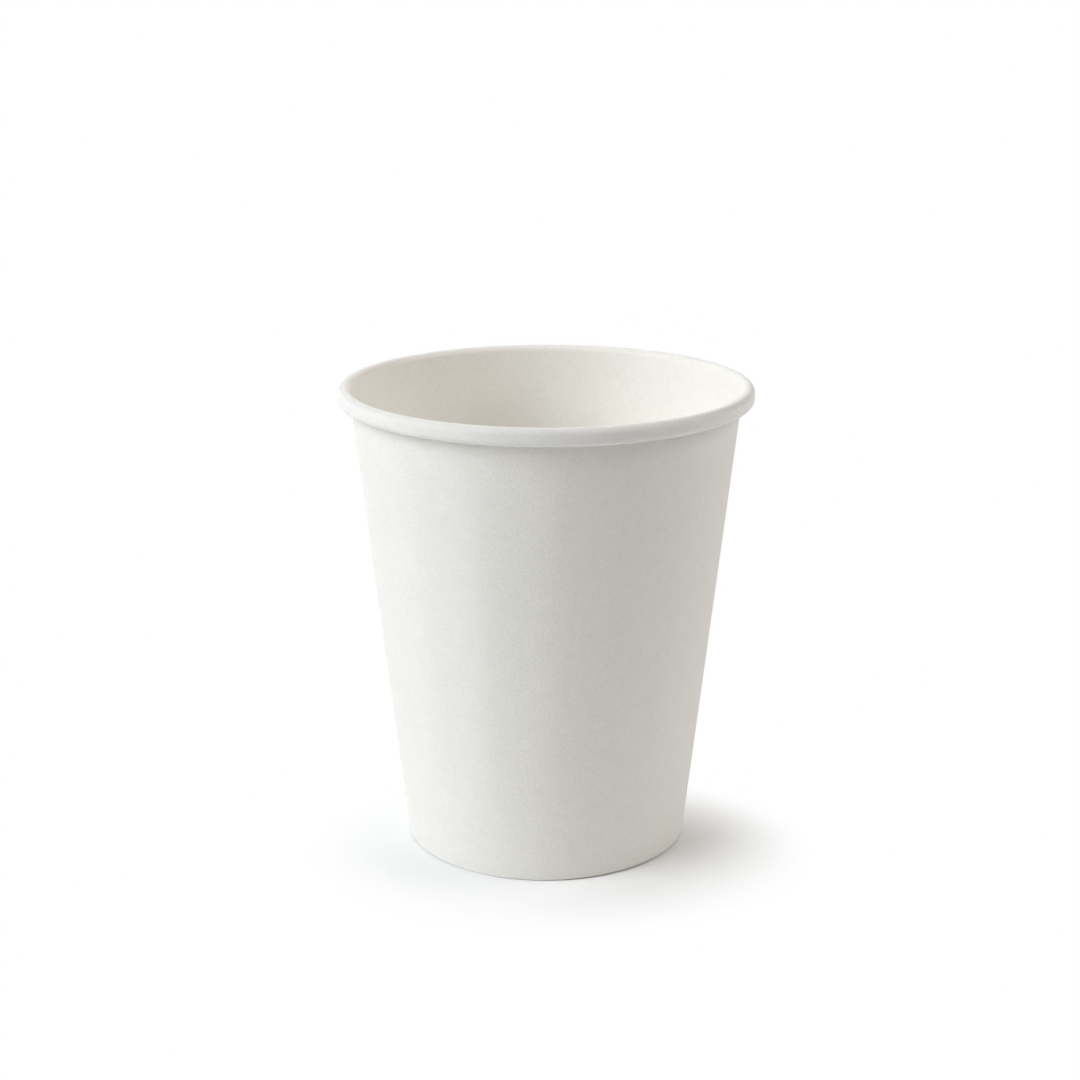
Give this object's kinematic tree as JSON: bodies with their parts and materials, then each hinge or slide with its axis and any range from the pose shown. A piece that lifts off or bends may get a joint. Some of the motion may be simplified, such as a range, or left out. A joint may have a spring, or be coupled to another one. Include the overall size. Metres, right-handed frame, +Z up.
{
  "type": "paper cup",
  "caption": "Plain white single-wall paper cup for hot drinks, tapered, with a rolled rim, a lapped side seam and a recessed bottom.",
  "frame": {"origin": "centre of the ring that the cup stands on, in the plane of the table", "axes": "+Z up along the cup's axis; the front that shows no seam faces -Y, and the lapped seam is at the back, towards -X and +Y"},
  "size_m": [0.08, 0.08, 0.0915],
  "materials": {
    "wall_board": "uncoated matte outside, thin satin film inside",
    "bottom_board": "thin satin film on the inner face, matte underneath"
  },
  "bodies": {
    "root": {"sidewall": "wall_board", "bottom_disc": "bottom_board"}
  },
  "joints": []
}
